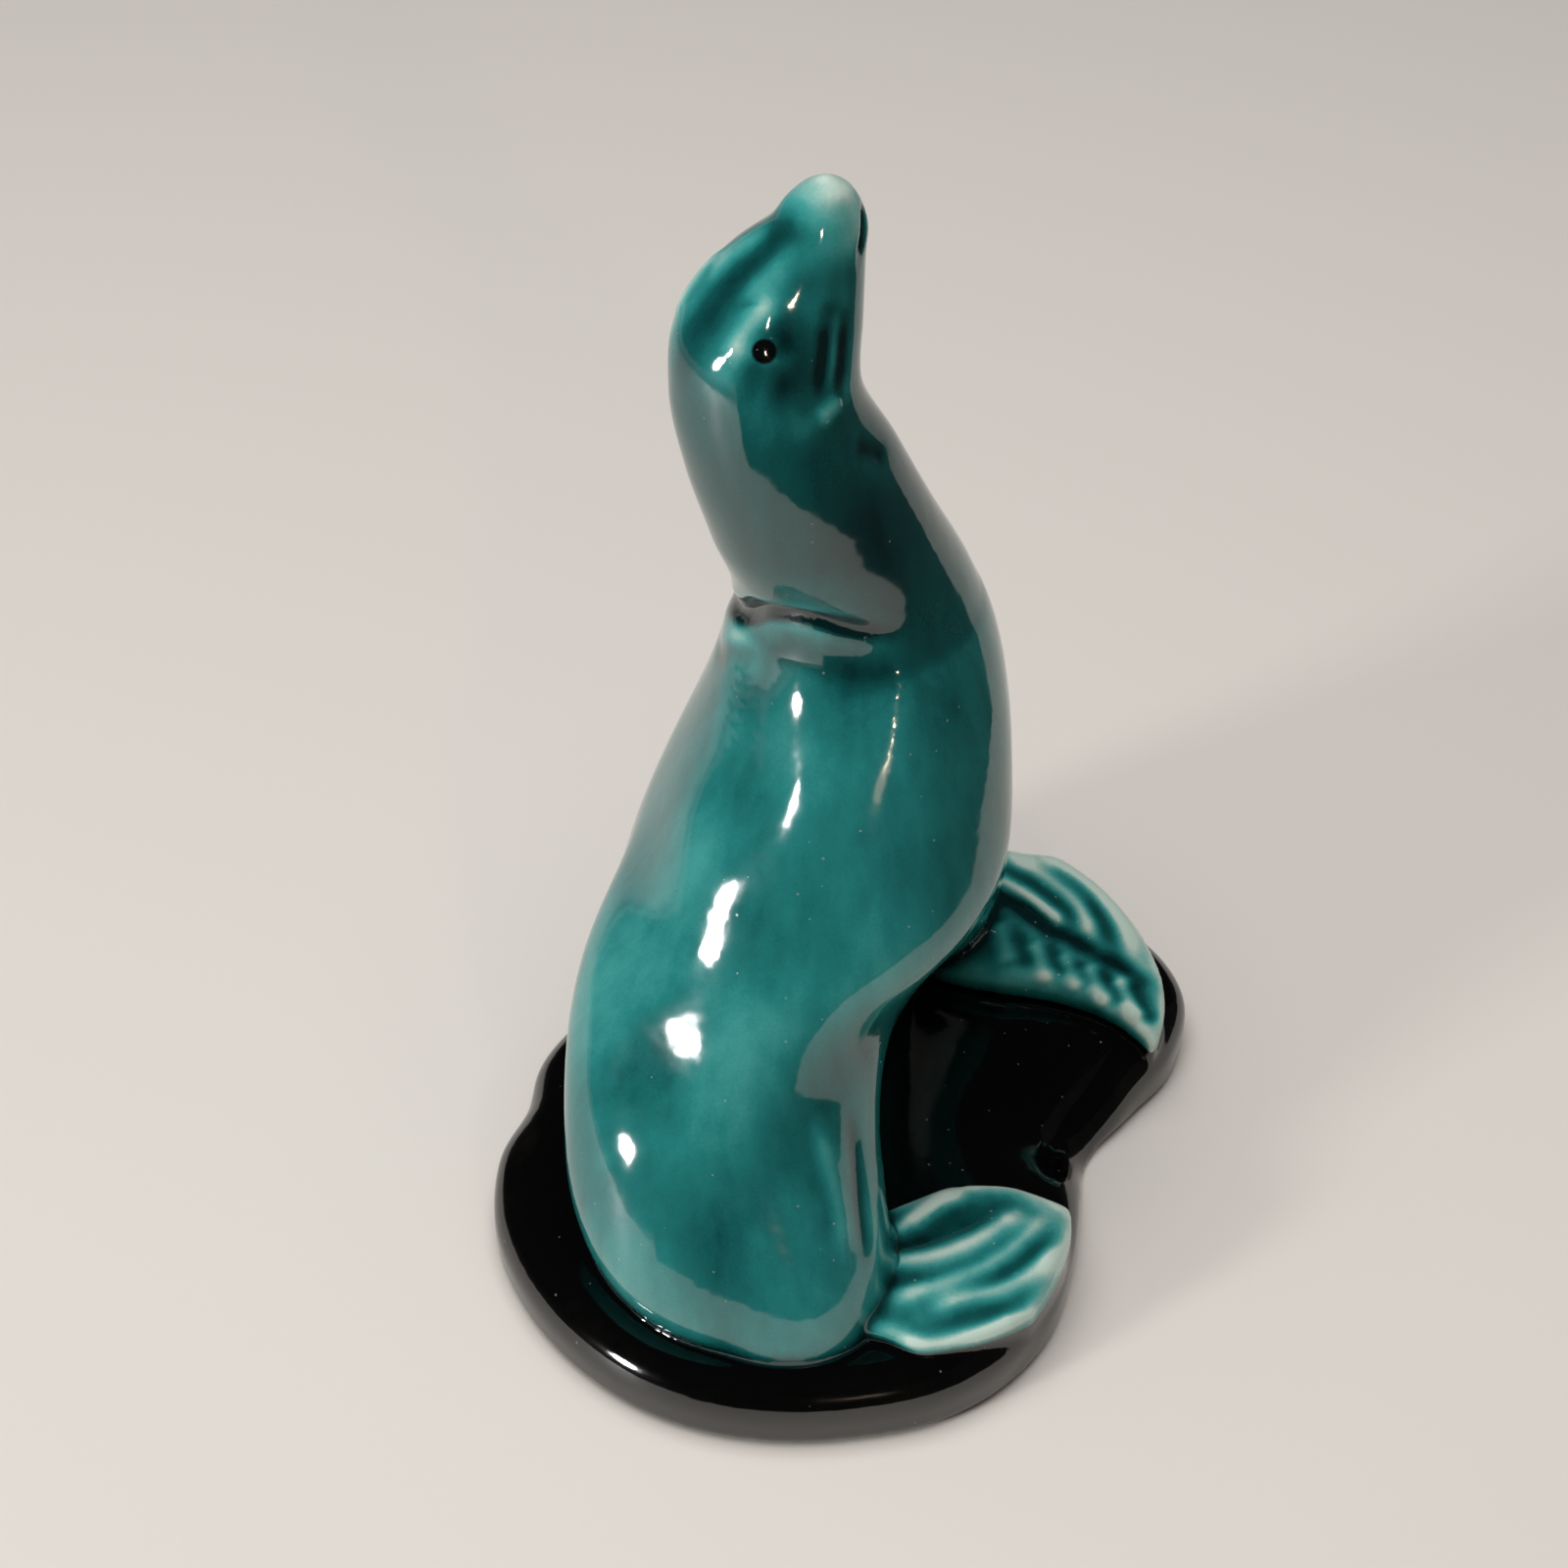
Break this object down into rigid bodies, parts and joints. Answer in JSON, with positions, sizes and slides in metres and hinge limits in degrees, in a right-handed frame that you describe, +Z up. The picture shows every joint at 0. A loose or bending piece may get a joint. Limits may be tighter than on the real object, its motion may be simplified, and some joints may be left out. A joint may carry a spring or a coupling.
{
  "type": "pottery seal figurine",
  "caption": "Glazed pottery figurine of a seal rearing up on a low rock, head thrown back, with ribbed flippers spread beside it and a flat foot.",
  "frame": {"origin": "on the floor plane, on the flat underside near the middle of the rock base", "axes": "+Z up along the figurine's height; -Y and -X toward the rump, +Y and +X the way the seal looks, +X the side where the ribbed flippers spread"},
  "size_m": [0.106, 0.1085, 0.1575],
  "materials": {
    "seal_figurine": "transparent teal glaze over black, high gloss"
  },
  "bodies": {
    "root": {"seal_figurine": "seal_figurine"}
  },
  "joints": []
}
